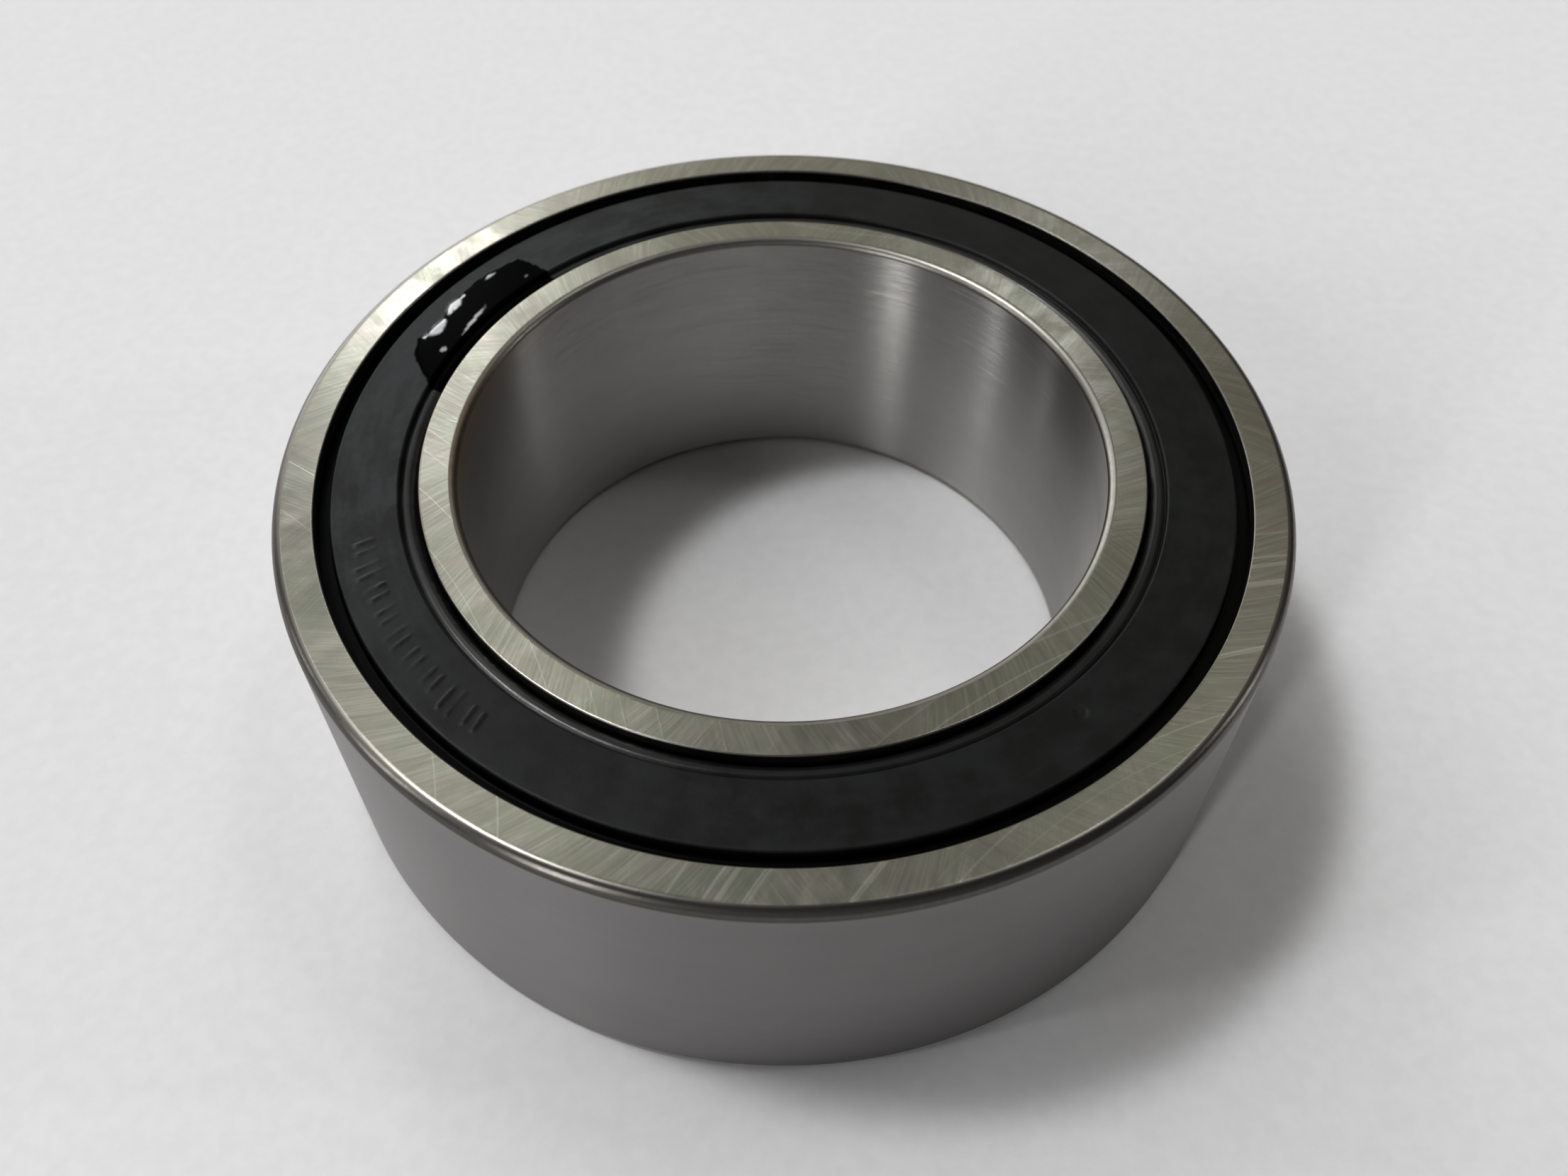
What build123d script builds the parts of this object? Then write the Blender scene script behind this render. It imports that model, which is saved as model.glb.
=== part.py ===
from build123d import *
from math import cos, radians, sin, sqrt
import os

# Sealed double-row angular contact ball bearing, back-to-back contact angles.
# Origin at the centre of the bearing, +Z along its axis. Millimetres.
# Profiles are (radius, height) points of the upper half, with heights measured
# from the middle plane. The lower half is their mirror image.

# --- boundary dimensions -------------------------------------------------
outside_diameter = 62.0
bore_diameter = 40.0
width = 20.6
outer_corner = 0.7           # rounding of the outer ring's outside corners
bore_corner = 0.5            # rounding of the inner ring's bore corners
edge_break = 0.12            # small chamfer on the faces' inner edges

outside_radius = outside_diameter / 2
bore_radius = bore_diameter / 2
half_width = width / 2

# --- ball set ------------------------------------------------------------
balls_per_row = 20
ball_diameter = 5.953        # 15/64 inch
pitch_diameter = 51.0
row_offset = 3.6             # each row's plane from the middle plane
contact_angle = 25.0
running_clearance = 0.05     # along the contact line, each side

ball_radius = ball_diameter / 2
pitch_radius = pitch_diameter / 2
ball_spacing = 360 / balls_per_row

# --- raceways ------------------------------------------------------------
outer_groove_radius = 0.53 * ball_diameter
inner_groove_radius = 0.52 * ball_diameter
outer_rib_radius = 27.3      # high rib between the two outer raceways
outer_land_radius = 28.2     # low outer shoulders, beside the seals
inner_rib_radius = 22.75     # low rib between the two inner raceways
inner_shoulder_radius = 23.7 # high shoulders that carry the thrust
inner_shoulder_end = 7.95    # height where the inner shoulder stops
inner_shoulder_chamfer = 0.2

# Centres of the raceway arcs of the upper row. The outer race carries the
# ball low and outside, the inner race high and inside.
contact_cos = cos(radians(contact_angle))
contact_sin = sin(radians(contact_angle))
outer_shift = ball_radius + running_clearance - outer_groove_radius
inner_shift = ball_radius + running_clearance - inner_groove_radius
outer_arc_radius = pitch_radius + contact_cos * outer_shift
outer_arc_height = row_offset - contact_sin * outer_shift
inner_arc_radius = pitch_radius - contact_cos * inner_shift
inner_arc_height = row_offset + contact_sin * inner_shift

# Heights where the raceway arcs meet the ribs, lands and shoulders.
outer_rib_end = outer_arc_height - sqrt(
    outer_groove_radius**2 - (outer_rib_radius - outer_arc_radius) ** 2)
outer_land_start = outer_arc_height + sqrt(
    outer_groove_radius**2 - (outer_land_radius - outer_arc_radius) ** 2)
inner_rib_end = inner_arc_height - sqrt(
    inner_groove_radius**2 - (inner_arc_radius - inner_rib_radius) ** 2)
inner_shoulder_start = inner_arc_height + sqrt(
    inner_groove_radius**2 - (inner_arc_radius - inner_shoulder_radius) ** 2)

# --- seal seats in the rings ---------------------------------------------
seal_shoulder_height = 8.1   # face the seal's rim stands on
seal_groove_radius = 29.2
seal_groove_top = 8.95
seal_mouth_height = 9.35
seal_mouth_radius = 28.45
seal_land_radius = 22.3      # ground land on the inner ring, under the lip

# --- cages ---------------------------------------------------------------
cage_inner = 24.2
cage_outer = 26.9
cage_back = 7.75             # closed side, towards the seal
cage_tip = 2.3               # open side, the tips of the prongs
cage_edge = 0.3              # chamfer on the closed side
pocket_radius = 3.1
notch_depth = 1.9
notch_root_width = 0.24
notch_cut_width = 1.1        # at the start of the cut, beyond the tips
notch_overrun = 0.2          # how far beyond the tips the cut starts

# --- seal inserts: a flat dish, a 45 degree step and a lower flat rim ------
insert_thickness = 0.3
insert_inner = 24.3
insert_outer = 28.5
insert_dish_height = 9.2     # underside of the insert's raised middle
insert_rim_height = 8.5      # underside of the insert's rim
step_shift = 0.125           # outward shift of the step's top side

dish_top = insert_dish_height + insert_thickness
rim_top = insert_rim_height + insert_thickness
step_inner = 26.72           # where the step's underside leaves the dish
step_outer = step_inner + insert_dish_height - insert_rim_height
step_top_inner = step_inner + step_shift
step_top_outer = step_outer + step_shift

# Sides of the insert's section, both from the inner edge outwards.
insert_underside = [
    (insert_inner, insert_dish_height),
    (step_inner, insert_dish_height),
    (step_outer, insert_rim_height),
    (insert_outer, insert_rim_height),
]
insert_top = [
    (insert_inner, dish_top),
    (step_top_inner, dish_top),
    (step_top_outer, rim_top),
    (insert_outer, rim_top),
]

# --- rubber mouldings ----------------------------------------------------
seal_face_height = 10.08     # moulded face, a little below the ring faces
seal_face_outer = 27.55
seal_face_inner = 23.5
seal_edge_round = 0.15
seal_edge_start = seal_face_height - seal_edge_round
seal_rim_radius = 29.15
seal_rim_inner = 28.3
seal_rim_chamfer = 0.1
seal_gap_floor = 9.15        # floor of the ring-shaped gap outside the face

# Rim in the outer ring's groove, the floor of the gap, then up to the face.
seal_rim_outline = [
    (seal_rim_inner, insert_rim_height),
    (seal_rim_inner, seal_shoulder_height),
    (seal_rim_radius - seal_rim_chamfer, seal_shoulder_height),
    (seal_rim_radius, seal_shoulder_height + seal_rim_chamfer),
    (seal_rim_radius, 8.86),
    (29.08, 8.95),
    (28.72, seal_gap_floor),
    (27.62, seal_gap_floor),
    (seal_face_outer, seal_edge_start),
]

# Rounded bead of the flexible lip: start, crown and end of its arc.
lip_bead = [(23.44, 9.70), (22.98, 9.85), (22.6, 9.64)]

# Lip from the bead round its tip at radius 22.36, then its underside.
lip_outline = [
    (22.6, 9.64), (22.40, 9.38), (22.36, 9.22), (22.42, 9.06), (22.75, 9.02),
    (23.2, 9.25), (23.6, 9.20), (23.9, 8.95), (24.6, 8.95),
    (24.6, insert_dish_height), (insert_inner, insert_dish_height),
]

# (name, side, angle of the first ball): side is 1 above the middle plane and
# -1 below it. The lower row sits half a ball spacing round.
rows = [("upper", 1, 0.0), ("lower", -1, ball_spacing / 2)]


def on_side(side, *points):
    """Profile points as they lie on the given side of the middle plane."""
    return [(radius, side * height) for radius, height in points]


def corner_round(radius, height, size, inward):
    """Start, middle and end of a quarter-round on a corner's top.

    inward is the radial direction into the material: 1 away from the axis,
    -1 towards it.
    """
    middle = size * (1 - sqrt(0.5))
    return [
        (radius + inward * size, height),
        (radius + inward * middle, height - middle),
        (radius, height - size),
    ]


def save(builder, name):
    builder.part.label = name
    export_step(builder.part, f"parts/{name}.step")


def build_outer_ring():
    """One ring with two raceways and a seal seat at each end."""
    with BuildPart() as ring:
        with BuildSketch(Plane.XZ):
            with BuildLine():
                for side in (1, -1):
                    Line(*on_side(side, (outer_rib_radius, 0), (outer_rib_radius, outer_rib_end)))
                    ThreePointArc(*on_side(
                        side,
                        (outer_rib_radius, outer_rib_end),
                        (outer_arc_radius + outer_groove_radius, outer_arc_height),
                        (outer_land_radius, outer_land_start)))
                    Polyline(*on_side(
                        side,
                        (outer_land_radius, outer_land_start),
                        (outer_land_radius, seal_shoulder_height),
                        (seal_groove_radius, seal_shoulder_height),
                        (seal_groove_radius, seal_groove_top),
                        (seal_mouth_radius, seal_mouth_height),
                        (seal_mouth_radius, half_width - edge_break),
                        (seal_mouth_radius + edge_break, half_width),
                        (outside_radius - outer_corner, half_width)))
                    ThreePointArc(*on_side(
                        side, *corner_round(outside_radius, half_width, outer_corner, -1)))
                    Line(*on_side(
                        side, (outside_radius, half_width - outer_corner), (outside_radius, 0)))
            make_face()
        revolve(axis=Axis.Z)
    save(ring, "outer_ring")


def build_inner_ring():
    """Two raceways, high outer shoulders and a land for each lip."""
    with BuildPart() as ring:
        with BuildSketch(Plane.XZ):
            with BuildLine():
                for side in (1, -1):
                    Line(*on_side(side, (bore_radius, 0), (bore_radius, half_width - bore_corner)))
                    ThreePointArc(*on_side(
                        side, *corner_round(bore_radius, half_width, bore_corner, 1)))
                    Polyline(*on_side(
                        side,
                        (bore_radius + bore_corner, half_width),
                        (seal_land_radius - edge_break, half_width),
                        (seal_land_radius, half_width - edge_break),
                        (seal_land_radius, inner_shoulder_end),
                        (inner_shoulder_radius - inner_shoulder_chamfer, inner_shoulder_end),
                        (inner_shoulder_radius, inner_shoulder_end - inner_shoulder_chamfer),
                        (inner_shoulder_radius, inner_shoulder_start)))
                    ThreePointArc(*on_side(
                        side,
                        (inner_shoulder_radius, inner_shoulder_start),
                        (inner_arc_radius - inner_groove_radius, inner_arc_height),
                        (inner_rib_radius, inner_rib_end)))
                    Line(*on_side(side, (inner_rib_radius, inner_rib_end), (inner_rib_radius, 0)))
            make_face()
        revolve(axis=Axis.Z)
    save(ring, "inner_ring")


def build_cage(row, side, phase):
    """One-piece crown cage, snapped over its row from the seal side."""
    with BuildPart() as cage:
        with BuildSketch(Plane.XZ):
            with BuildLine():
                Polyline(
                    *on_side(
                        side,
                        (cage_inner, cage_tip),
                        (cage_outer, cage_tip),
                        (cage_outer, cage_back - cage_edge),
                        (cage_outer - cage_edge, cage_back),
                        (cage_inner + cage_edge, cage_back),
                        (cage_inner, cage_back - cage_edge)),
                    close=True)
            make_face()
        revolve(axis=Axis.Z)
        # spherical pockets, one for each ball
        with Locations((0, 0, side * row_offset)):
            with PolarLocations(pitch_radius, balls_per_row, start_angle=phase):
                Sphere(pocket_radius, mode=Mode.SUBTRACT)
        # tapered notches that split each web into two springy prongs
        for i in range(balls_per_row):
            angle = radians(phase + (i + 0.5) * ball_spacing)
            # local x runs round the cage, local y along +Z
            web = Plane(
                origin=(0, 0, side * cage_tip),
                x_dir=(-sin(angle), cos(angle), 0),
                z_dir=(cos(angle), sin(angle), 0))
            with BuildSketch(web):
                with BuildLine():
                    Polyline(
                        (-notch_cut_width / 2, -side * notch_overrun),
                        (notch_cut_width / 2, -side * notch_overrun),
                        (notch_root_width / 2, side * notch_depth),
                        (-notch_root_width / 2, side * notch_depth),
                        close=True)
                make_face()
            # from the axis to beyond the cage's outside
            extrude(amount=cage_outer + 1, mode=Mode.SUBTRACT)
    save(cage, f"cage_{row}")


def build_balls(row, side, phase):
    """One row of balls, each its own solid."""
    for i in range(balls_per_row):
        angle = radians(phase + i * ball_spacing)
        centre = (pitch_radius * cos(angle), pitch_radius * sin(angle), side * row_offset)
        with BuildPart() as ball:
            with Locations(centre):
                Sphere(ball_radius)
        save(ball, f"ball_{row}_{i + 1:02d}")


def build_insert(end, side):
    """Dished steel insert of one seal."""
    with BuildPart() as insert:
        with BuildSketch(Plane.XZ):
            with BuildLine():
                Polyline(*on_side(side, *insert_underside, *reversed(insert_top)), close=True)
            make_face()
        revolve(axis=Axis.Z)
    save(insert, f"seal_{end}_insert")


def build_seal(end, side):
    """Rubber moulding of one seal, over its insert."""
    with BuildPart() as seal:
        with BuildSketch(Plane.XZ):
            with BuildLine():
                Polyline(*on_side(side, *seal_rim_outline))
                # the moulded face with its two rounded edges
                ThreePointArc(*on_side(
                    side, *corner_round(seal_face_outer, seal_face_height, seal_edge_round, -1)))
                Line(*on_side(
                    side,
                    (seal_face_outer - seal_edge_round, seal_face_height),
                    (seal_face_inner + seal_edge_round, seal_face_height)))
                ThreePointArc(*on_side(
                    side, *corner_round(seal_face_inner, seal_face_height, seal_edge_round, 1)))
                # step down to the lip
                Line(*on_side(side, (seal_face_inner, seal_edge_start), lip_bead[0]))
                ThreePointArc(*on_side(side, *lip_bead))
                # the lip, then the bond line along the insert back to the rim
                Polyline(*on_side(
                    side, *lip_outline, *insert_top, insert_underside[-1], seal_rim_outline[0]))
            make_face()
        revolve(axis=Axis.Z)
    save(seal, f"seal_{end}")


os.makedirs("parts", exist_ok=True)
build_outer_ring()
build_inner_ring()
for name, side, phase in rows:
    build_cage(name, side, phase)
    build_balls(name, side, phase)
    build_insert(name, side)
    build_seal(name, side)
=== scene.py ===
"""Sealed deep-groove ball bearing lying flat on a paper floor.

The axis is Z and the middle of the width is z = 0. The rings and rubber seals are
turned afresh from their sections; balls, cages and seal inserts keep the CAD meshes
and get new materials. The camera stands at -Y and looks down towards +Y, so near
is -Y, far is +Y and left is -X.
"""
import math
from functools import partial, reduce

import bpy
import numpy as np
from mathutils import Matrix, Vector


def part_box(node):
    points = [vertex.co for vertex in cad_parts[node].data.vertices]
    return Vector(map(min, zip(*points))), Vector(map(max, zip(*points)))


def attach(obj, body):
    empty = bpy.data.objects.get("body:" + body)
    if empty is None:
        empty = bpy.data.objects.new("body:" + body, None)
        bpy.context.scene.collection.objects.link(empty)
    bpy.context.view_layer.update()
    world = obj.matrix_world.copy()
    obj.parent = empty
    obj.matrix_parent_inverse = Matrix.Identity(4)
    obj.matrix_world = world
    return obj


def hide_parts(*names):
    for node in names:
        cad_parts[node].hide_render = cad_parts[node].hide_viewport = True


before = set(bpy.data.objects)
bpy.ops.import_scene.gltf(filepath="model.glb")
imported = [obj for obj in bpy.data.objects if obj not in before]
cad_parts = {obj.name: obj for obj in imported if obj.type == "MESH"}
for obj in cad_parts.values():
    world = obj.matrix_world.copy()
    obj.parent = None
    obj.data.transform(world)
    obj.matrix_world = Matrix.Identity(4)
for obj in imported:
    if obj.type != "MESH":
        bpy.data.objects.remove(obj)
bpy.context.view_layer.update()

# ---------------------------------------------------------------------------
# Driving sizes, read from the CAD pieces. Sections are worked in millimetres.
# ---------------------------------------------------------------------------
MM = 0.001
outer_lo, outer_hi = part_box("outer_ring")
inner_verts = np.array([v.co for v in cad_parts["inner_ring"].data.vertices])
OUTSIDE = outer_hi.x / MM                       # outside radius of the bearing
BORE = float(np.hypot(inner_verts[:, 0], inner_verts[:, 1]).min()) / MM
HALF_WIDTH = outer_hi.z / MM
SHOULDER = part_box("inner_ring")[1].x / MM       # high shoulder of the inner ring
SEAL_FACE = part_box("seal_upper")[1].z / MM      # height of the seal's moulded face
FLOOR_Z = outer_lo.z                            # metres


# ---------------------------------------------------------------------------
# Sections. A corner is (radius, z) when sharp, or
# (radius, z, rounding radius, rounding segments).
# ---------------------------------------------------------------------------
def arc(centre_r, centre_z, radius, start, end, segments):
    """Points on the shorter arc from start to end, ends left out."""
    first = math.atan2(start[1] - centre_z, start[0] - centre_r)
    last = math.atan2(end[1] - centre_z, end[0] - centre_r)
    sweep = (last - first + math.pi) % (2 * math.pi) - math.pi
    return [(centre_r + radius * math.cos(first + sweep * i / segments),
             centre_z + radius * math.sin(first + sweep * i / segments))
            for i in range(1, segments)]


def round_corner(before, corner, after, rounding, segments):
    """Arc points for one corner, with a support point on each side where there is
    room, so that flats stay flat under smooth shading."""
    back, ahead = before - corner, after - corner
    back_len, ahead_len = np.linalg.norm(back), np.linalg.norm(ahead)
    back, ahead = back / back_len, ahead / ahead_len
    half = math.acos(max(-1, min(1, float(back @ ahead)))) / 2
    cut = min(rounding / math.tan(half), 0.47 * back_len, 0.47 * ahead_len)
    radius = cut * math.tan(half)
    bisector = (back + ahead) / np.linalg.norm(back + ahead)
    centre = corner + bisector * radius / math.sin(half)
    start, end = corner + back * cut, corner + ahead * cut
    gap = min(0.05, 0.3 * radius + 0.004)
    points = [tuple(start), *arc(*centre, radius, start, end, segments), tuple(end)]
    if cut + gap < 0.49 * back_len:
        points.insert(0, tuple(start + back * gap))
    if cut + gap < 0.49 * ahead_len:
        points.append(tuple(end + ahead * gap))
    return points


def rounded(corners, step=2.5, fine=None):
    """Closed profile with points no further apart than step.
    fine: (test, step) gives a smaller step where test(radius, z) is true."""
    outline = []
    for i, corner in enumerate(corners):
        if len(corner) == 2:
            outline.append(corner)
            continue
        before, here, after = (np.array(c[:2], float) for c in
                               (corners[i - 1], corner, corners[(i + 1) % len(corners)]))
        outline += round_corner(before, here, after, *corner[2:])
    dense = []
    for i, start in enumerate(outline):
        end = outline[(i + 1) % len(outline)]
        length = math.hypot(end[0] - start[0], end[1] - start[1])
        if length < 1e-6:
            continue
        near = fine and fine[0]((start[0] + end[0]) / 2, (start[1] + end[1]) / 2)
        count = max(1, int(math.ceil(length / (fine[1] if near else step))))
        for j in range(count):
            dense.append((start[0] + (end[0] - start[0]) * j / count,
                          start[1] + (end[1] - start[1]) * j / count))
    return np.array(dense)


def mirrored(corners):
    """Close a half section whose first and last corners lie on z = 0."""
    return corners + [(c[0], -c[1], *c[2:]) for c in reversed(corners[1:-1])]


def full_turn(count):
    return np.arange(count) * 2 * math.pi / count


def lathe(name, profile, angles, materials, zone=None, shape=None, masks=None):
    """Closed solid of revolution. zone(radius, z) picks the material slot;
    shape(angle, radius, z) returns offsets (radial, z) in mm;
    masks(angle, radius, z) returns {name: 0..1 array}, kept as point attributes."""
    turns, points = len(angles), len(profile)
    ang = np.repeat(np.asarray(angles)[:, None], points, 1)
    rad = np.repeat(profile[None, :, 0], turns, 0)
    z = np.repeat(profile[None, :, 1], turns, 0)
    out_by, up_by = shape(ang, rad, z)
    moved = rad + out_by
    co = np.stack([moved * np.cos(ang), moved * np.sin(ang), z + up_by], -1).reshape(-1, 3) * MM

    row = np.arange(turns)[:, None] * points
    next_row = (np.arange(turns)[:, None] + 1) % turns * points
    col = np.arange(points)[None, :]
    next_col = (col + 1) % points
    ring = [row + col, next_row + col, next_row + next_col, row + next_col]
    following = np.roll(profile, -1, 0)
    area = 0.5 * np.sum(profile[:, 0] * following[:, 1] - following[:, 0] * profile[:, 1])
    if area <= 0:
        ring = [ring[0], *ring[:0:-1]]          # keep the normals outward
    quads = np.stack(ring, -1).reshape(-1, 4)

    mesh = bpy.data.meshes.new(name)
    mesh.vertices.add(len(co))
    mesh.vertices.foreach_set("co", co.astype(np.float32).ravel())
    mesh.loops.add(quads.size)
    mesh.loops.foreach_set("vertex_index", quads.astype(np.int32).ravel())
    mesh.polygons.add(len(quads))
    mesh.polygons.foreach_set("loop_start", np.arange(0, quads.size, 4, dtype=np.int32))
    middles = (profile + following) / 2
    slots = np.array([zone(*mid) if zone else 0 for mid in middles], np.int32)
    mesh.polygons.foreach_set("material_index", np.tile(slots, turns))
    mesh.polygons.foreach_set("use_smooth", np.ones(len(quads), bool))
    for item in materials:
        mesh.materials.append(item)
    mesh.update(calc_edges=True)
    mesh.validate()
    if masks:
        for key, values in masks(ang, rad, z).items():
            layer = mesh.attributes.new(key, "FLOAT", "POINT")
            layer.data.foreach_set("value", np.clip(values, 0, 1).astype(np.float32).ravel())
    return add_object(name, mesh)


def add_object(name, data):
    obj = bpy.data.objects.new(name, data)
    bpy.context.scene.collection.objects.link(obj)
    return obj


def stand_in(obj, rides, replaces):
    """Tell the frame which node the piece moves with, and hide the CAD node it replaces."""
    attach(obj, rides)
    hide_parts(replaces)


# ---------------------------------------------------------------------------
# Fields over angle and section
# ---------------------------------------------------------------------------
def smooth(value, low, high):
    t = np.clip((value - low) / (high - low), 0, 1)
    return t * t * (3 - 2 * t)


def wrap(angle):
    return (angle + math.pi) % (2 * math.pi) - math.pi


def along(ang, degrees, radius):
    """Distance round the ring from a given direction, in mm at that radius."""
    return wrap(ang - math.radians(degrees)) * radius


def hump(ang, centre, width):
    """Bell curve round the ring, centre and width in degrees."""
    return np.exp(-(wrap(ang - math.radians(centre)) / math.radians(width)) ** 2)


def wobble(ang, seed, terms=((3, 1.0), (7, 0.6), (13, 0.4), (29, 0.25))):
    """Smooth periodic wander, about -1..1. terms: (waves per turn, weight)."""
    rng = np.random.default_rng(seed)
    out = np.zeros_like(ang)
    for waves, weight in terms:
        out += weight * np.sin(waves * ang + rng.uniform(0, 2 * math.pi))
    return out / sum(weight for _, weight in terms)


def grit(ang, across, seed, cells, rows):
    """Value noise, -1..1: cells round the ring, rows over across = 0..1."""
    rng = np.random.default_rng(seed)
    grid = rng.uniform(-1, 1, (cells, rows + 2))
    u = (ang / (2 * math.pi)) % 1.0 * cells
    i0 = np.floor(u).astype(int) % cells
    i1 = (i0 + 1) % cells
    v = np.clip(across, 0, 1) * rows
    j0 = np.floor(v).astype(int)
    j1 = np.minimum(j0 + 1, rows + 1)
    part_u, part_v = u - np.floor(u), v - j0
    part_u = part_u * part_u * (3 - 2 * part_u)
    part_v = part_v * part_v * (3 - 2 * part_v)
    return ((grid[i0, j0] * (1 - part_u) + grid[i1, j0] * part_u) * (1 - part_v)
            + (grid[i0, j1] * (1 - part_u) + grid[i1, j1] * part_u) * part_v)


# ---------------------------------------------------------------------------
# Node helpers. Any value may be a number, a tuple or an output socket.
# ---------------------------------------------------------------------------
class Nodes:
    def __init__(self, tree):
        self.tree = tree
        tree.nodes.clear()

    def set(self, socket, value):
        if hasattr(value, "is_output"):
            self.tree.links.new(value, socket)
        else:
            socket.default_value = value

    def put(self, kind, inputs=None, **props):
        node = self.tree.nodes.new(kind)
        for key, value in props.items():
            setattr(node, key, value)
        for key, value in (inputs or {}).items():
            self.set(node.inputs[key], value)
        return node

    def math(self, operation, *values, clamp=False):
        return self.put("ShaderNodeMath", dict(enumerate(values)),
                        operation=operation, use_clamp=clamp).outputs[0]

    def times(self, a, b):
        return self.math("MULTIPLY", a, b)

    def plus(self, a, b):
        return self.math("ADD", a, b)

    def minus(self, a, b):
        return self.math("SUBTRACT", a, b)

    def vec(self, operation, *values):
        node = self.put("ShaderNodeVectorMath", dict(enumerate(values)), operation=operation)
        scalar = operation in ("LENGTH", "DOT_PRODUCT", "DISTANCE")
        return node.outputs["Value" if scalar else 0]

    def scaled(self, vector, scale):
        return self.put("ShaderNodeVectorMath", {0: vector, "Scale": scale},
                        operation="SCALE").outputs[0]

    def xyz(self, vector):
        return tuple(self.put("ShaderNodeSeparateXYZ", {0: vector}).outputs)

    def join(self, x, y, z):
        return self.put("ShaderNodeCombineXYZ", {0: x, 1: y, 2: z}).outputs[0]


class Material(Nodes):
    """A Principled material whose textures read the object's own coordinates."""

    def __init__(self, name):
        self.material = bpy.data.materials.new(name)
        self.material.use_nodes = True
        super().__init__(self.material.node_tree)
        self.bsdf = self.put("ShaderNodeBsdfPrincipled")
        self.put("ShaderNodeOutputMaterial", {0: self.bsdf.outputs[0]})
        self.point = self.put("ShaderNodeTexCoord").outputs["Object"]

    def finish(self, **inputs):
        """Set Principled inputs (underscores stand for spaces); give the material."""
        for key, value in inputs.items():
            self.set(self.bsdf.inputs[key.replace("_", " ")], value)
        return self.material

    def polar(self):
        """Vector from the axis (m), its unit direction, and height."""
        x, y, z = self.xyz(self.point)
        flat = self.join(x, y, 0.0)
        return flat, self.vec("NORMALIZE", flat), z

    def around(self, x, y, radius, third):
        """Texture point on a circle of this radius; a small one stretches the
        texture round the ring."""
        return self.join(self.times(x, radius), self.times(y, radius), third)

    def turned(self, vector, angle):
        return self.put("ShaderNodeVectorRotate", {"Vector": vector, "Angle": angle},
                        rotation_type="Z_AXIS").outputs[0]

    def to_world(self, vector):
        return self.put("ShaderNodeVectorTransform", {"Vector": vector}, vector_type="VECTOR",
                        convert_from="OBJECT", convert_to="WORLD").outputs[0]

    def noise(self, point, scale, detail=2.0, rough=0.5):
        return self.put("ShaderNodeTexNoise", {"Vector": point, "Scale": scale, "Detail": detail,
                                               "Roughness": rough}).outputs["Fac"]

    def remap(self, value, over, to, kind="LINEAR"):
        inputs = {"Value": value, "From Min": over[0], "From Max": over[1],
                  "To Min": to[0], "To Max": to[1]}
        return self.put("ShaderNodeMapRange", inputs, interpolation_type=kind).outputs[0]

    def fade(self, value, over):
        """Smooth 0..1 as value crosses the span."""
        return self.remap(value, over, (0.0, 1.0), "SMOOTHSTEP")

    def mix(self, factor, a, b, blend="MIX"):
        a, b = ((*c, 1) if isinstance(c, tuple) else c for c in (a, b))
        return self.put("ShaderNodeMix", {0: factor, 6: a, 7: b},
                        data_type="RGBA", blend_type=blend).outputs[2]

    def tint(self, base, amount, strength, colour):
        return self.mix(self.times(amount, strength), base, colour)

    def lerp(self, factor, a, b):
        return self.put("ShaderNodeMix", {0: factor, 2: a, 3: b}, data_type="FLOAT").outputs[0]

    def bumps(self, *layers):
        """Stacked bumps, each (height, distance in metres, strength)."""
        normal = None
        for height, distance, strength in layers:
            inputs = {"Height": height, "Distance": distance, "Strength": strength}
            if normal is not None:
                inputs["Normal"] = normal
            normal = self.put("ShaderNodeBump", inputs).outputs[0]
        return normal

    def attr(self, name):
        return self.put("ShaderNodeAttribute", attribute_name=name).outputs["Fac"]


def shade(tone, factor):
    return tuple(c * factor for c in tone)


# ---------------------------------------------------------------------------
# Ring steel
# ---------------------------------------------------------------------------
FACE_STEEL = (0.335, 0.329, 0.296)
FACE_STEEL_DARK = (0.295, 0.288, 0.255)
# turn of each family of slanting scratches, radians per metre of radius
SLANTS = (21.0, -24.0, 6.0)
# long swirls: centre x, y (m), noise scale, noise span that shows
SWIRLS = (
    (0.0330, -0.0528, 2600.0, (0.60, 0.70)),
    (-0.0480, -0.0300, 2300.0, (0.64, 0.72)),
    (0.0150, 0.0640, 2300.0, (0.65, 0.73)),
)


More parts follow.
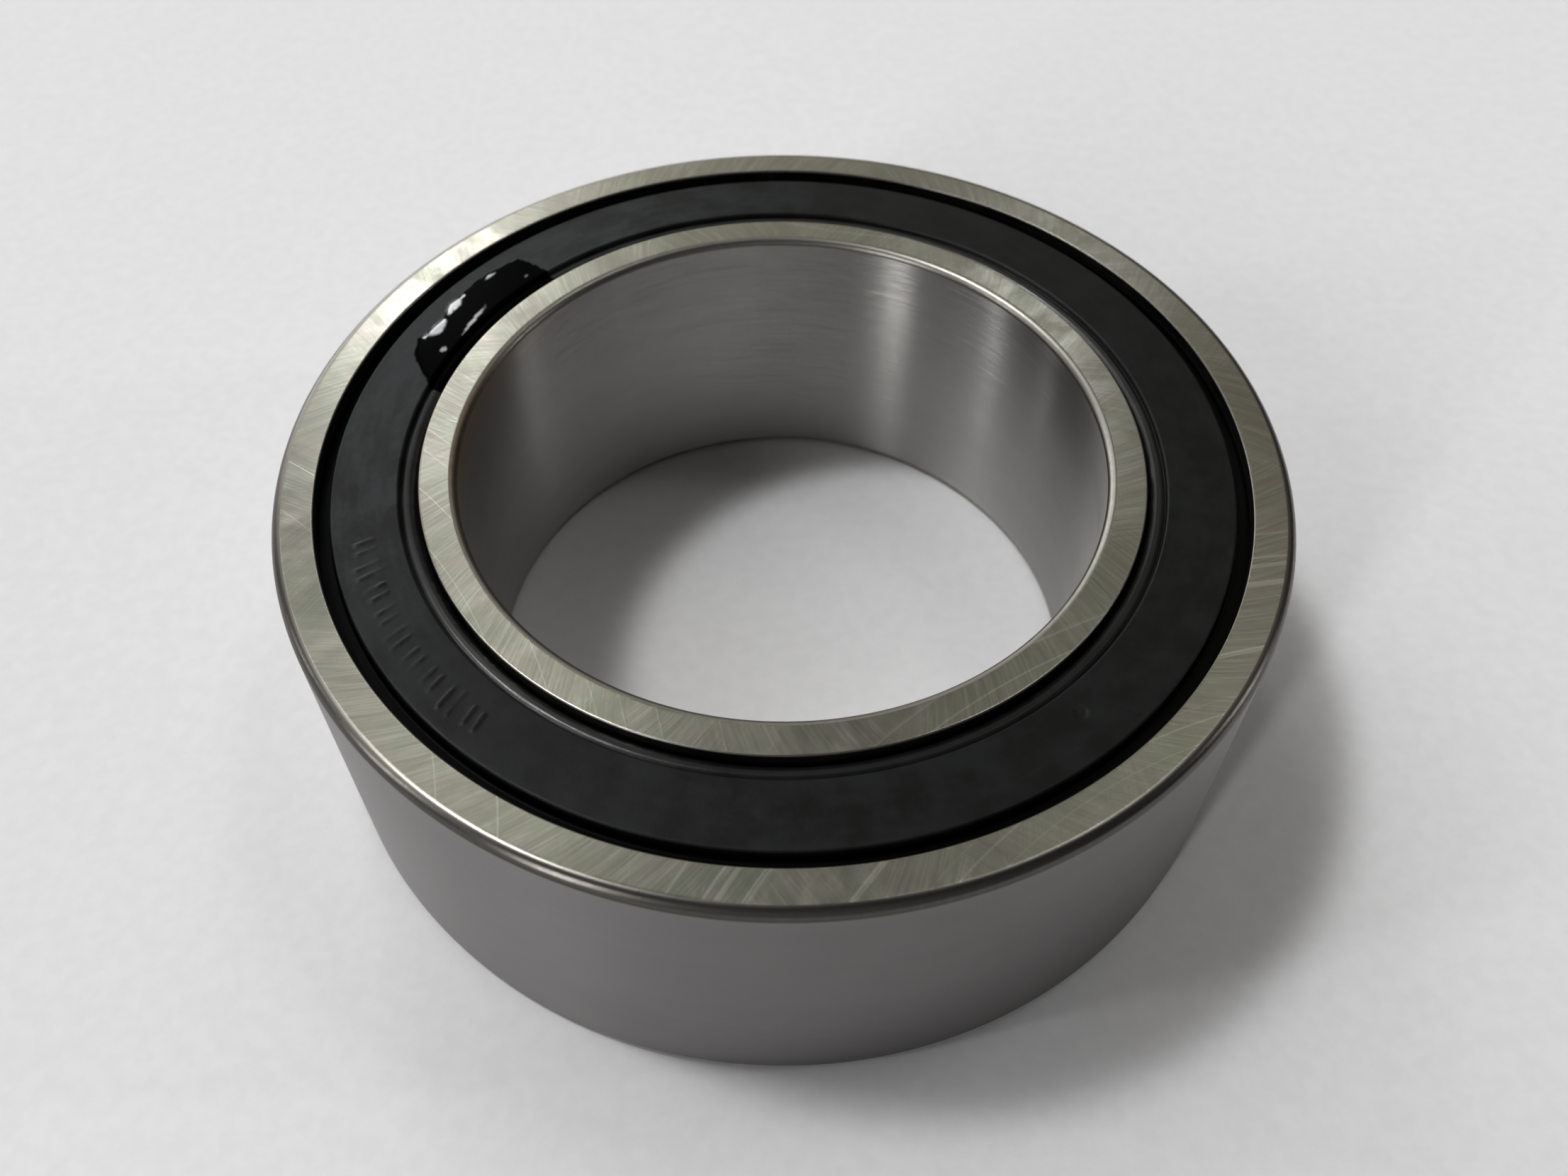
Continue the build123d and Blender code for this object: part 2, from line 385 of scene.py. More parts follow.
def steel_face(name, mean_radius, seed):
    """Ground end face: fine slanting scratches, a few longer swirls from the
    grinding wheel, faint handling marks; painted highlight on scratch crests, swirls
    and marks, painted shade in scratch bottoms. mean_radius is in metres."""
    mat = Material(name)
    flat, unit, _ = mat.polar()
    radius = mat.vec("LENGTH", flat)

    def slanting(family):
        """Texture point that hardly changes along lines slanting across the face."""
        angle = mat.times(mat.minus(radius, mean_radius), SLANTS[family])
        x, y, _ = mat.xyz(mat.vec("NORMALIZE", mat.turned(flat, angle)))
        drift = mat.math("MULTIPLY_ADD", radius, 0.05, 0.013 * (seed + family))
        return mat.around(x, y, mean_radius, drift)

    first, second, third = (slanting(k) for k in range(3))
    # which of the first two families rules changes slowly round the ring
    patch = mat.noise(mat.vec("ADD", flat, (0.02 * seed, 0, 0)), scale=62.0, rough=0.55)
    pick = mat.fade(patch, over=(0.42, 0.58))
    fine = mat.lerp(pick, *(mat.noise(p, scale=6800.0, rough=0.62) for p in (first, second)))
    broad = mat.lerp(pick, *(mat.noise(p, scale=1900.0, rough=0.55) for p in (first, second)))
    swirls = []
    for x, y, scale, shown in SWIRLS:
        distance = mat.vec("DISTANCE", flat, (x, y, 0.0))
        lines = mat.noise(mat.join(distance, 0.1 * x, 0.01 * seed), scale=scale, detail=1.0)
        swirls.append(mat.times(mat.fade(lines, over=shown),
                                mat.fade(distance, over=(0.050, 0.0405))))
    swirl_and_glint = reduce(partial(mat.math, "MAXIMUM"), swirls)
    marks = mat.times(mat.fade(mat.noise(third, scale=6800.0, rough=0.62), over=(0.66, 0.78)),
                      mat.fade(mat.noise(flat, scale=300.0), over=(0.52, 0.66)))
    blot = mat.noise(flat, scale=260.0, detail=5.0, rough=0.62)
    cloud_point = mat.around(mat.xyz(unit)[0], mat.xyz(unit)[1], mean_radius,
                             mat.times(radius, 0.5))
    cloud = mat.noise(cloud_point, scale=520.0, detail=3.0, rough=0.6)

    base = mat.mix(mat.fade(broad, over=(0.30, 0.72)), FACE_STEEL_DARK, FACE_STEEL)
    for source, over, strength, colour in (
            # painted highlight: scratch crests lightened as if catching the light
            (fine, (0.50, 0.66), 0.38, (0.45, 0.443, 0.412)),       # scratch crests
            # painted shade: scratch bottoms darkened as if lying in shade
            (fine, (0.46, 0.36), 0.32, (0.225, 0.219, 0.194)),      # scratch bottoms
            (cloud, (0.48, 0.70), 0.18, (0.41, 0.405, 0.370)),
            (blot, (0.48, 0.70), 0.25, (0.235, 0.224, 0.180))):
        base = mat.tint(base, mat.fade(source, over), strength, colour)
    # painted highlight: swirls and handling marks lightened as if catching the light; their real
    # relief is in the bump
    base = mat.tint(base, mat.math("MAXIMUM", swirl_and_glint, marks), strength=0.45,
                    colour=(0.62, 0.615, 0.60))
    # faint straw and green casts left by handling and old oil
    hue = mat.noise(mat.vec("ADD", flat, (0.0, 0.03 * seed, 0.0)),
                    scale=430.0, detail=3.0, rough=0.6)
    cast = mat.mix(mat.fade(hue, over=(0.38, 0.62)), (1.03, 0.995, 0.985), (0.98, 1.012, 0.96))
    base = mat.mix(1.0, base, cast, "MULTIPLY")
    # highlights spread square to the scratches
    lean = mat.remap(mat.lerp(0.5, fine, pick), over=(0.3, 0.7), to=(-0.45, 0.45))
    x, y, _ = mat.xyz(flat)
    tangent = mat.turned(mat.join(mat.times(y, -1.0), x, 0.0), lean)
    return mat.finish(
        Base_Color=base,
        Metallic=1.0,
        Roughness=mat.plus(mat.remap(cloud, over=(0.3, 0.7), to=(0.28, 0.20)),
                           mat.times(mat.fade(blot, over=(0.45, 0.75)), 0.06)),
        Anisotropic=0.45,
        Tangent=mat.to_world(mat.vec("NORMALIZE", tangent)),
        Normal=mat.bumps((fine, 2.6e-6, 0.8), (broad, 1.4e-6, 0.5),
                         (mat.math("MAXIMUM", swirl_and_glint, marks), 4e-6, 0.5)))


def steel_wall(name, radius, tone, rough, aniso, cut_depth, seed, stain=False):
    """Ground cylinder: fine grinding lines round the axis, faint axial scuffs.
    radius and cut_depth are in metres."""
    mat = Material(name)
    _, unit, z = mat.polar()
    x, y, _ = mat.xyz(unit)
    # grinding lines: fast along z, slow round the axis
    line_point = mat.around(x, y, 0.0012, mat.plus(z, 0.01 * seed))
    lines = mat.noise(line_point, scale=7000.0, rough=0.6)
    cut = mat.noise(mat.around(x, y, 0.0002, mat.plus(z, 0.01 * seed)),
                    scale=16000.0, detail=1.0)
    bands = mat.noise(line_point, scale=700.0)
    scuff = mat.noise(mat.around(x, y, radius, mat.times(z, 0.16)),
                      scale=900.0, detail=3.0, rough=0.6)
    cloud = mat.noise(mat.point, scale=95.0, detail=4.0, rough=0.6)
    light = shade(tone, 1.12)
    base = mat.mix(mat.fade(bands, over=(0.35, 0.65)), shade(tone, 0.97), tone)
    for source, over, strength, colour in (
            (lines, (0.55, 0.75), 0.25, light),
            (scuff, (0.56, 0.74), 0.20, light),
            (cloud, (0.50, 0.75), 0.20, shade(tone, 0.80))):
        base = mat.tint(base, mat.fade(source, over), strength, colour)
    if stain:
        base = mat.tint(base, mat.attr("stain"), strength=0.85, colour=(0.50, 0.27, 0.07))
    return mat.finish(
        Base_Color=base,
        Metallic=1.0,
        Roughness=mat.plus(rough, mat.times(mat.minus(cloud, 0.5), 0.06)),
        Anisotropic=aniso,
        # highlights spread along the axis, square to the grinding lines
        Tangent=mat.to_world((0.0, 0.0, 1.0)),
        Normal=mat.bumps((cut, cut_depth, 1.0), (lines, 6e-7, 0.6),
                         (mat.plus(mat.times(bands, 0.15), scuff), 5e-7, 0.5)))


def steel_edge(name, tone, rough, low, stain=False):
    """Rounded corners: turned, then blurred by the grinding run-out. The colour is
    darkened towards the wall as painted shade: low is the brightness where the corner
    leaves the wall; it rises to 1 at the end face."""
    mat = Material(name)
    flat, unit, z = mat.polar()
    radius = mat.vec("LENGTH", flat)
    x, y, _ = mat.xyz(unit)
    ragged = mat.noise(mat.around(x, y, radius, mat.times(z, 0.25)), scale=2600.0, rough=0.6)
    nick = mat.noise(mat.point, scale=700.0, detail=3.0, rough=0.6)
    base = mat.mix(mat.fade(ragged, over=(0.40, 0.68)), shade(tone, 0.93), tone)
    base = mat.tint(base, mat.fade(nick, over=(0.66, 0.76)), strength=0.12,
                    colour=shade(tone, 1.5))
    # painted shade: darker towards the wall, a painted dark band in place of the corner's dark
    # reflection
    run = mat.remap(mat.math("ABSOLUTE", z), to=(low, 1.0),
                    over=((HALF_WIDTH - 0.75) * MM, (HALF_WIDTH - 0.12) * MM))
    base = mat.mix(1.0, base, mat.join(run, run, run), "MULTIPLY")
    if stain:
        base = mat.tint(base, mat.attr("stain"), strength=0.8, colour=(0.22, 0.13, 0.06))
    return mat.finish(
        Base_Color=base,
        Metallic=1.0,
        Roughness=mat.remap(ragged, over=(0.3, 0.7), to=(rough + 0.03, rough - 0.01)),
        Normal=mat.bumps((ragged, 1.2e-6, 0.5), (nick, 3e-6, 0.08)))


def steel_race():
    """Honed raceways and turned seal seats inside, wet with a little grease."""
    mat = Material("steel_raceway")
    flat, unit, z = mat.polar()
    x, y, _ = mat.xyz(unit)
    hone = mat.noise(mat.around(x, y, 0.002, mat.plus(z, mat.vec("LENGTH", flat))),
                     scale=6000.0, detail=3.0, rough=0.6)
    film = mat.noise(mat.point, scale=260.0, detail=4.0, rough=0.6)
    base = mat.mix(mat.fade(hone, over=(0.4, 0.66)), (0.36, 0.353, 0.34), (0.46, 0.455, 0.445))
    base = mat.tint(base, mat.fade(film, over=(0.48, 0.70)), strength=0.35,
                    colour=(0.28, 0.235, 0.16))
    return mat.finish(
        Base_Color=base,
        Metallic=1.0,
        Roughness=mat.remap(film, over=(0.4, 0.7), to=(0.16, 0.30)),
        Normal=mat.bumps((hone, 2e-6, 0.5)))


# ---------------------------------------------------------------------------
# Rings
# ---------------------------------------------------------------------------
# raceway arcs: centre radius, centre z, arc radius
OUTER_GROOVE = (25.3835, 3.6543, 3.1551)
INNER_GROOVE = (25.5626, 3.5708, 3.0956)
GROOVE_SEGMENTS = 14
# land between the grooves and rim beyond them, where each arc ends: radius, z
OUTER_LAND, OUTER_RIM = (27.3, 1.148), (28.2, 5.076)
INNER_LAND, INNER_RIM = (22.75, 2.278), (SHOULDER, 6.043)
OUTER_CHAMFER, INNER_CHAMFER = 0.70, 0.5    # rounding at the outside and bore corners

FACE_ZONE, WALL_ZONE, CORNER_ZONE, RACE_ZONE = range(4)     # material slots of a ring


def ring_zone(wall_radius, at_corner):
    def zone(rad, z):
        if abs(abs(z) - HALF_WIDTH) < 0.004:
            return FACE_ZONE
        if abs(rad - wall_radius) < 0.004:
            return WALL_ZONE
        return CORNER_ZONE if at_corner(rad, abs(z)) else RACE_ZONE
    return zone


def outer_profile():
    return rounded(mirrored([
        (OUTER_LAND[0], 0.0), (*OUTER_LAND, 0.05, 1),
        *arc(*OUTER_GROOVE, OUTER_LAND, OUTER_RIM, GROOVE_SEGMENTS),
        (*OUTER_RIM, 0.06, 1), (28.2, 8.1, 0.08, 2), (29.2, 8.1, 0.10, 2),
        (29.2, 8.95, 0.08, 2), (28.45, 9.35, 0.08, 2), (28.45, HALF_WIDTH, 0.11, 5),
        (OUTSIDE, HALF_WIDTH, OUTER_CHAMFER, 14), (OUTSIDE, 0.0)]))


def inner_profile():
    corners = mirrored([
        (BORE, 0.0), (BORE, HALF_WIDTH, INNER_CHAMFER, 12), (22.3, HALF_WIDTH, 0.11, 5),
        (22.3, 7.95, 0.10, 2), (SHOULDER - 0.1, 7.95, 0.08, 2), (SHOULDER, 7.85, 0.08, 2),
        (*INNER_RIM, 0.05, 1),
        *arc(*INNER_GROOVE, INNER_RIM, INNER_LAND, GROOVE_SEGMENTS),
        (*INNER_LAND, 0.05, 1), (INNER_LAND[0], 0.0)])
    # the stained stretch of the bore needs closer points
    return rounded(corners, fine=(lambda rad, z: rad < BORE + 0.01 and 7.6 < z < 9.79, 0.18))


def outer_shape(ang, rad, z):
    """The grinding run-out leaves the outside corners very slightly uneven."""
    wear = 0.006 * wobble(ang, 12)
    corner = smooth(rad, OUTSIDE - 0.72, OUTSIDE - 0.3)
    corner *= smooth(np.abs(z), HALF_WIDTH - 0.72, HALF_WIDTH - 0.3)
    corner *= (rad < OUTSIDE - 1e-4) * (np.abs(z) < HALF_WIDTH - 1e-4)
    inward = -np.abs(wear) * corner
    return inward, np.sign(z) * inward * 0.8


def inner_shape(ang, rad, z):
    """Slightly uneven bore corners."""
    wear = 0.003 * np.abs(wobble(ang, 22))
    corner = smooth(BORE + 0.5 - rad, 0.0, 0.3) * smooth(np.abs(z) - HALF_WIDTH + 0.5, 0.0, 0.3)
    return wear * corner, -np.sign(z) * wear * 0.6 * corner


def inner_masks(ang, rad, z):
    """A small brown stain high on the bore's left side, and a film above it."""
    across = along(ang, 179.4, BORE)
    height = z - 8.85
    rough = grit(ang, np.clip((z - 7.0) / 4.0, 0, 1), 23, 900, 20)
    spot = np.exp(-((across - 0.25 * height) / 0.26) ** 2 - (height / 0.75) ** 2)
    film = hump(ang, 178.0, 22.0) * smooth(z, 9.45, 9.85)
    return {"stain": spot * (1 + 0.5 * rough) + 0.55 * film * (1 + 0.4 * rough)}


face_outer = steel_face("steel_face_outer", mean_radius=0.0294, seed=1)
face_inner = steel_face("steel_face_inner", mean_radius=0.0214, seed=2)
wall_outside = steel_wall("steel_outside_diameter", radius=0.031, tone=(0.262, 0.255, 0.252),
                          rough=0.37, aniso=0.80, cut_depth=4e-6, seed=3)
wall_bore = steel_wall("steel_bore", radius=0.020, tone=(0.45, 0.440, 0.424),
                       rough=0.30, aniso=1.0, cut_depth=4e-5, seed=4, stain=True)
# the outer corner's dark tone is partly darker unground steel and partly painted shade for the
# dark reflection along the corner
edge_outer = steel_edge("steel_corner", tone=(0.185, 0.177, 0.162), rough=0.28, low=0.35)
edge_inner = steel_edge("steel_corner_inner", tone=(0.30, 0.290, 0.265), rough=0.34, low=0.7,
                        stain=True)
race = steel_race()

outer = lathe("outer_ring_body", outer_profile(), full_turn(640),
              [face_outer, wall_outside, edge_outer, race],
              ring_zone(OUTSIDE, lambda rad, up: rad > 30.2 or (up > 10.15 and rad < 28.7)),
              outer_shape)
stand_in(outer, "outer_ring", "outer_ring")

inner = lathe("inner_ring_body", inner_profile(), full_turn(640),
              [face_inner, wall_bore, edge_inner, race],
              ring_zone(BORE, lambda rad, up: rad < 20.6 or (up > 10.1 and rad > 22.1)),
              inner_shape, inner_masks)
stand_in(inner, "inner_ring", "inner_ring")


# ---------------------------------------------------------------------------
# Seals
# ---------------------------------------------------------------------------
# the lip's convex bead: outer end, crown, inner end (radius, z)
LIP_BEAD = ((23.44, 9.70), (22.98, 9.85), (22.60, 9.64))

# how far angles are apart round the upper seal: from, to, step in degrees
SEAL_SPANS = (
    (-170.0, -127.0, 0.22), (-127.0, -104.0, 0.35), (-104.0, -58.0, 0.62), (-58.0, -46.0, 0.22),
    (-46.0, 131.0, 0.85), (131.0, 169.0, 0.33), (169.0, 190.0, 0.6))

# oily run on the far left of the face: angle in degrees, radius it reaches
OIL_RUN = np.array([
    (133.4, 23.3), (134.2, 25.4), (135.0, 26.15), (137.9, 26.35), (141.8, 26.5),
    (146.3, 26.4), (149.0, 26.5), (151.6, 25.95), (154.0, 26.05), (157.7, 26.2),
    (160.5, 25.7), (163.0, 24.7), (164.6, 24.0), (166.5, 23.2)])

# wet beads on the oil: angle in degrees, radius, half length, half width, slope
OIL_BEADS = (
    (149.0, 26.08, 0.88, 0.40, 0.10), (154.1, 25.62, 0.98, 0.44, 0.12),
    (140.5, 26.1, 0.42, 0.12, 0.0), (158.0, 24.10, 0.22, 0.20, 0.0),
    (150.3, 23.90, 1.60, 0.13, 0.14), (136.7, 24.2, 0.16, 0.11, 0.0),
    (146.5, 26.15, 0.25, 0.12, 0.3), (156.3, 25.95, 0.30, 0.13, 0.2))

# spots wiped clean at the face's inner edge: angle, half width in degrees, depth
WIPED_SPOTS = ((-165.5, 3.4, 0.75), (-177.0, 1.2, 0.45), (-60.0, 5.0, 0.25))
SCRATCHES = ((-47.0, 27.0, 0.55), (-38.2, 26.5, 0.9))   # angle, radius, slope
TICK_RADIUS = 25.75                                     # middle of the moulded ticks


def circle_through(a, b, c):
    """Centre radius, centre z and radius of the circle through three points."""
    (ax, ay), (bx, by), (cx, cy) = a, b, c
    twice = 2 * (ax * (by - cy) + bx * (cy - ay) + cx * (ay - by))
    asq, bsq, csq = ax * ax + ay * ay, bx * bx + by * by, cx * cx + cy * cy
    x = (asq * (by - cy) + bsq * (cy - ay) + csq * (ay - by)) / twice
    y = (asq * (cx - bx) + bsq * (ax - cx) + csq * (bx - ax)) / twice
    return x, y, math.hypot(ax - x, ay - y)


def seal_profile():
    """Upper seal, drawn anticlockwise from the rim's foot."""
    start, _, end = LIP_BEAD
    corners = [
        (28.3, 8.5), (28.3, 8.1, 0.06, 1), (29.15, 8.1, 0.12, 2), (29.15, 8.91, 0.06, 1),
        (28.72, 9.15, 0.10, 2), (27.63, 9.15, 0.16, 3), (27.55, SEAL_FACE, 0.15, 7),
        (23.50, SEAL_FACE, 0.16, 7), (*start, 0.05, 2),
        *arc(*circle_through(*LIP_BEAD), start, end, 14), end,
        (22.52, 9.52), (22.45, 9.44), (22.40, 9.38), (22.36, 9.22, 0.03, 2),
        (22.42, 9.06, 0.03, 1), (22.75, 9.02, 0.08, 1), (23.2, 9.25, 0.12, 1),
        (23.6, 9.20, 0.12, 1), (23.9, 8.95, 0.10, 1), (24.6, 8.95), (24.6, 9.2),
        (24.3, 9.2), (24.3, 9.5), (26.845, 9.5), (27.545, 8.8), (28.5, 8.8), (28.5, 8.5)]
    return rounded(corners, fine=(lambda rad, z: z > 9.6, 0.13))


def seal_turn():
    """Angles round the upper seal, closer together over its marks and the oil."""
    return np.radians(np.concatenate([
        np.linspace(start, end, int(round((end - start) / step)), endpoint=False)
        for start, end, step in SEAL_SPANS]))


def oil_edge(ang, rad):
    """Distance in mm inside the oily run (negative outside)."""
    deg = np.degrees(wrap(ang))
    reach = np.interp(deg, OIL_RUN[:, 0], OIL_RUN[:, 1], left=0, right=0)
    ends = np.minimum(deg - 133.3, 167.0 - deg) * math.radians(1.0) * 25.0
    return np.minimum(reach - rad, ends) + 0.10 * grit(ang, (rad - 23) / 5, 42, 300, 10)


def oil_beads(ang, rad):
    """1 on the wet beads, 0 elsewhere."""
    out = np.zeros_like(rad)
    ragged = 0.22 * grit(ang, (rad - 23) / 5, 45, 620, 18)
    for centre, radius, half_length, half_width, slope in OIL_BEADS:
        run = along(ang, centre, radius)
        reach = np.sqrt((run / half_length) ** 2
                        + ((rad - radius + slope * run) / half_width) ** 2)
        out = np.maximum(out, 1 - smooth(reach + ragged, 0.80, 1.10))
    return out


def tick_height(ang, rad):
    """Nine pairs of short leaning ticks; every third pair is longer."""
    height = np.zeros_like(rad)
    for pair in range(9):
        run = along(ang, -162.0 + 4.0 * pair, 25.8)
        half_length = 0.75 if pair % 3 == 1 else 0.50
        past_end = np.maximum(np.abs(rad - TICK_RADIUS) - half_length, 0)
        for side in (-1, 1):
            off = run - side * 0.36 - 0.22 * (rad - TICK_RADIUS)
            height = np.maximum(height, np.exp(-((off / 0.11) ** 2 + (past_end / 0.11) ** 2)))
    return height


def upper_marks(ang, rad, z, rise, top):
    """Add the marks that only the upper seal carries to the face's rise."""
    across = (rad - 23.5) / 4
    worn = 0.55 + 0.45 * np.clip(grit(ang, across, 33, 160, 8), -1, 1)
    rise = rise + 0.095 * tick_height(ang, rad) * worn * top
    # the gate where the rubber was injected: a small torn dimple
    reach = np.sqrt((along(ang, -52.0, 25.1) / 1.25) ** 2 + (rad - 25.05) ** 2)
    torn = grit(ang, across, 34, 1400, 34)
    rise = rise + (0.030 * torn - 0.060) * (1 - smooth(reach, 0.20, 0.48)) * top
    # oil stands a little proud, with a rounded rim
    inside = np.clip(oil_edge(ang, rad) / 0.30, 0, 1)
    film = np.sqrt(1 - (1 - inside) ** 2) * (z > 9.9) * (rad > 23.55)
    rise = rise * (1 - 0.8 * (film > 0)) + film * 0.045
    for centre, radius, slope in SCRATCHES:
        off = along(ang, centre, 26.8) - (rad - radius) * slope
        rise = rise - 0.03 * np.exp(-(off / 0.10) ** 2) * (np.abs(rad - radius) < 0.4) * top
    return rise


def seal_shape(ang, rad, z, upper=True):
    top = (z > 9.3) * (rad > 23.3) * (rad < 27.5)
    flatness = smooth(rad, 23.55, 23.9) * (1 - smooth(rad, 27.15, 27.45)) * top
    rise = 0.012 * wobble(ang, 31, ((2, 1.0), (5, 0.6), (9, 0.5))) * flatness
    rise = rise + 0.006 * grit(ang, (rad - 23.5) / 4, 32, 180, 5) * flatness
    if upper:
        rise = upper_marks(ang, rad, z, rise, top)
    # lip: fine rings on the bead and a ragged trimmed edge
    lip = (z > 9.3) * (rad < 23.42)
    rise = rise + 0.006 * np.sin((rad - 22.3) * 2 * math.pi / 0.26) * lip * (rad > 22.7)
    edge = np.exp(-((rad - 22.64) / 0.10) ** 2) * lip
    level = np.full_like(ang, 0.3)
    ragged = np.maximum(grit(ang + (rad - 22.6) * 0.02, level, 35, 620, 2), 0)
    rise = rise + 0.055 * ragged * edge * (0.6 + 0.4 * grit(ang, level, 36, 40, 2))
    # slight sag and swell of the bead round the ring
    rise = rise + 0.018 * wobble(ang, 37, ((3, 1.0), (8, 0.7), (17, 0.5), (41, 0.3))) * lip
    return -0.030 * ragged * edge, rise


def seal_masks(ang, rad, z, upper=True):
    # dry dusty film, heavier on the far left, where it also carries painted sheen in place of
    # the glare on the rubber
    side = 0.5 + 0.5 * np.cos(wrap(ang - math.radians(152.0)))
    dust_and_sheen = 0.16 + 0.84 * smooth(side, 0.62, 0.98)
    for centre, width, depth in WIPED_SPOTS:
        off = np.abs(along(ang, centre, 1)) / math.radians(width)
        limit = (23.6 + depth * np.sqrt(np.clip(1 - off ** 2, 0, 1))
                 + 0.06 * grit(ang, (rad - 23) / 5, 41, 420, 9))
        dust_and_sheen = dust_and_sheen * (1 - (1 - smooth(rad, limit - 0.05, limit + 0.06)) * (off < 1))
    face = (rad > 23.6) * (rad < 27.5) * (z > 9.9)
    oil = wet = np.zeros_like(rad)
    if upper:
        inside = oil_edge(ang, rad)
        oil = smooth(inside, -0.05, 0.05) * (z > 9.3)
        wet = oil_beads(ang, rad) * (inside > -0.05) * (z > 9.3)
    # the lip is polished at the near left and along the right, smeared elsewhere
    shine = 0.10 + 0.90 * hump(ang, -134.0, 22.0) + 0.70 * hump(ang, 30.0, 48.0)
    return {
        "dust_and_sheen": dust_and_sheen * np.where(face, 1.0, 0.35),
        "oil": oil,
        "wet": wet,
        # painted shade: the sunk rim of the seal sees almost no light, so it is painted near
        # black with a weak reflection
        "pit_shade": smooth(rad, 27.40, 27.60) * (1 - smooth(z, 9.55, 9.85)),
        "lip": (z > 9.2) * (rad < 23.5) * shine}


def rubber():
    """Near-black moulded nitrile: faint mould grain, a dry dusty film that also carries painted
    sheen on the far left, painted shade in the sunk rim, wiped and oily patches where the film
    is gone."""
    mat = Material("seal_rubber")
    flat, unit, _ = mat.polar()
    radius = mat.vec("LENGTH", flat)
    x, y, _ = mat.xyz(unit)
    grain = mat.noise(mat.point, scale=7000.0, detail=3.0, rough=0.6)
    mottle = mat.noise(mat.point, scale=420.0, detail=4.0, rough=0.62)
    wide = mat.noise(mat.point, scale=85.0, detail=3.0, rough=0.55)
    # wiping marks run long round the ring, small dry scuffs square to them
    wipe = mat.noise(mat.around(x, y, 0.006, mat.times(radius, 1.0)),
                     scale=1500.0, detail=3.0, rough=0.6)
    scuff = mat.noise(mat.around(x, y, 0.0255, mat.times(radius, 0.22)),
                      scale=1300.0, detail=3.0, rough=0.6)
    # fine turned rings left by the mould on the lip
    rings = mat.noise(mat.around(x, y, 0.0008, radius), scale=9500.0)
    dust_and_sheen, oil, lip, pit_shade = (mat.attr(name) for name in ("dust_and_sheen", "oil", "lip", "pit_shade"))

    streaks = mat.plus(mat.times(mottle, 0.6), mat.times(wipe, 0.4))
    film = mat.times(dust_and_sheen, mat.fade(streaks, over=(0.38, 0.62)))
    film = mat.times(film, mat.minus(1.0, oil))
    base = mat.mix(mat.fade(mottle, over=(0.35, 0.7)),
                   (0.0034, 0.0041, 0.0034), (0.0058, 0.0069, 0.0058))
    for amount, strength, colour in (
            # dusty film colour, partly dust and partly painted sheen on the far left
            (film, 0.75, (0.034, 0.044, 0.0435)),
            (mat.fade(scuff, over=(0.66, 0.78)), mat.times(dust_and_sheen, 0.4), (0.042, 0.0455, 0.042)),
            (oil, 0.9, (0.0022, 0.0025, 0.0022)),
            # painted shade in the sunk rim of the seal
            (pit_shade, 0.9, (0.0012, 0.0012, 0.0011))):
        base = mat.tint(base, amount, strength, colour)

    rough = mat.plus(0.41, mat.times(mat.minus(mottle, 0.5), 0.30))
    rough = mat.plus(rough, mat.times(film, 0.08))
    rough = mat.lerp(oil, mat.lerp(lip, rough, 0.28), 0.12)
    # specular level: dry to polished lip, then oil from dull to wet
    level = mat.lerp(oil, mat.lerp(lip, 0.28, 0.90), mat.lerp(mat.attr("wet"), 0.004, 1.0))
    relief = mat.minus(1.0, mat.times(oil, 0.85))       # oil drowns the grain
    return mat.finish(
        Base_Color=base,
        Roughness=mat.math("MAXIMUM", rough, 0.08),
        # painted shade: the sunk rim also loses its reflection
        Specular_IOR_Level=mat.lerp(pit_shade, level, 0.06),
        Normal=mat.bumps((mat.times(grain, relief), 1e-5, 0.55),
                         (mat.times(mottle, relief), 4.5e-5, 0.40),
                         (wide, 1.2e-4, 0.25),
                         (mat.times(rings, lip), 2.2e-5, 0.7)))


def lower_shape(ang, rad, z):
    out_by, rise = seal_shape(ang, rad, -z, upper=False)
    return out_by, -rise


def lower_masks(ang, rad, z):
    return seal_masks(ang, rad, -z, upper=False)


seal_rubber = rubber()
section = seal_profile()
seal_top = lathe("seal_upper_rubber", section, seal_turn(), [seal_rubber],
                 shape=seal_shape, masks=seal_masks)
stand_in(seal_top, "outer_ring", "seal_upper")

seal_low = lathe("seal_lower_rubber", section * np.array([1.0, -1.0]), full_turn(600),
                 [seal_rubber], shape=lower_shape, masks=lower_masks)
stand_in(seal_low, "outer_ring", "seal_lower")


# ---------------------------------------------------------------------------
# CAD nodes that stay: balls, cages, inserts
# ---------------------------------------------------------------------------
def ball_steel():
    mat = Material("ball_steel")
    film = mat.noise(mat.point, scale=520.0, detail=4.0, rough=0.6)
    lapping = mat.noise(mat.point, scale=9000.0)
    return mat.finish(
        Base_Color=mat.mix(mat.fade(film, over=(0.45, 0.72)),
                           (0.78, 0.785, 0.79), (0.62, 0.60, 0.55)),
        Metallic=1.0,
        Roughness=mat.remap(film, over=(0.4, 0.75), to=(0.06, 0.18)),
        Normal=mat.bumps((lapping, 6e-7, 0.4)))


def nylon():
    mat = Material("cage_nylon")
    fibre = mat.noise(mat.vec("MULTIPLY", mat.point, (1.0, 1.0, 3.0)),
                      scale=1800.0, detail=4.0, rough=0.65)
    cast = mat.noise(mat.point, scale=160.0, detail=3.0)
    base = mat.mix(mat.fade(cast, over=(0.35, 0.7)), (0.36, 0.29, 0.17), (0.47, 0.39, 0.25))
    return mat.finish(
        Base_Color=mat.tint(base, mat.fade(fibre, over=(0.58, 0.75)), strength=0.3,
                            colour=(0.60, 0.54, 0.42)),
        Roughness=mat.remap(fibre, over=(0.3, 0.7), to=(0.42, 0.60)),
        Subsurface_Weight=0.05,
        Subsurface_Radius=(0.001, 0.0007, 0.0004),
        Normal=mat.bumps((fibre, 1.2e-5, 0.45)))


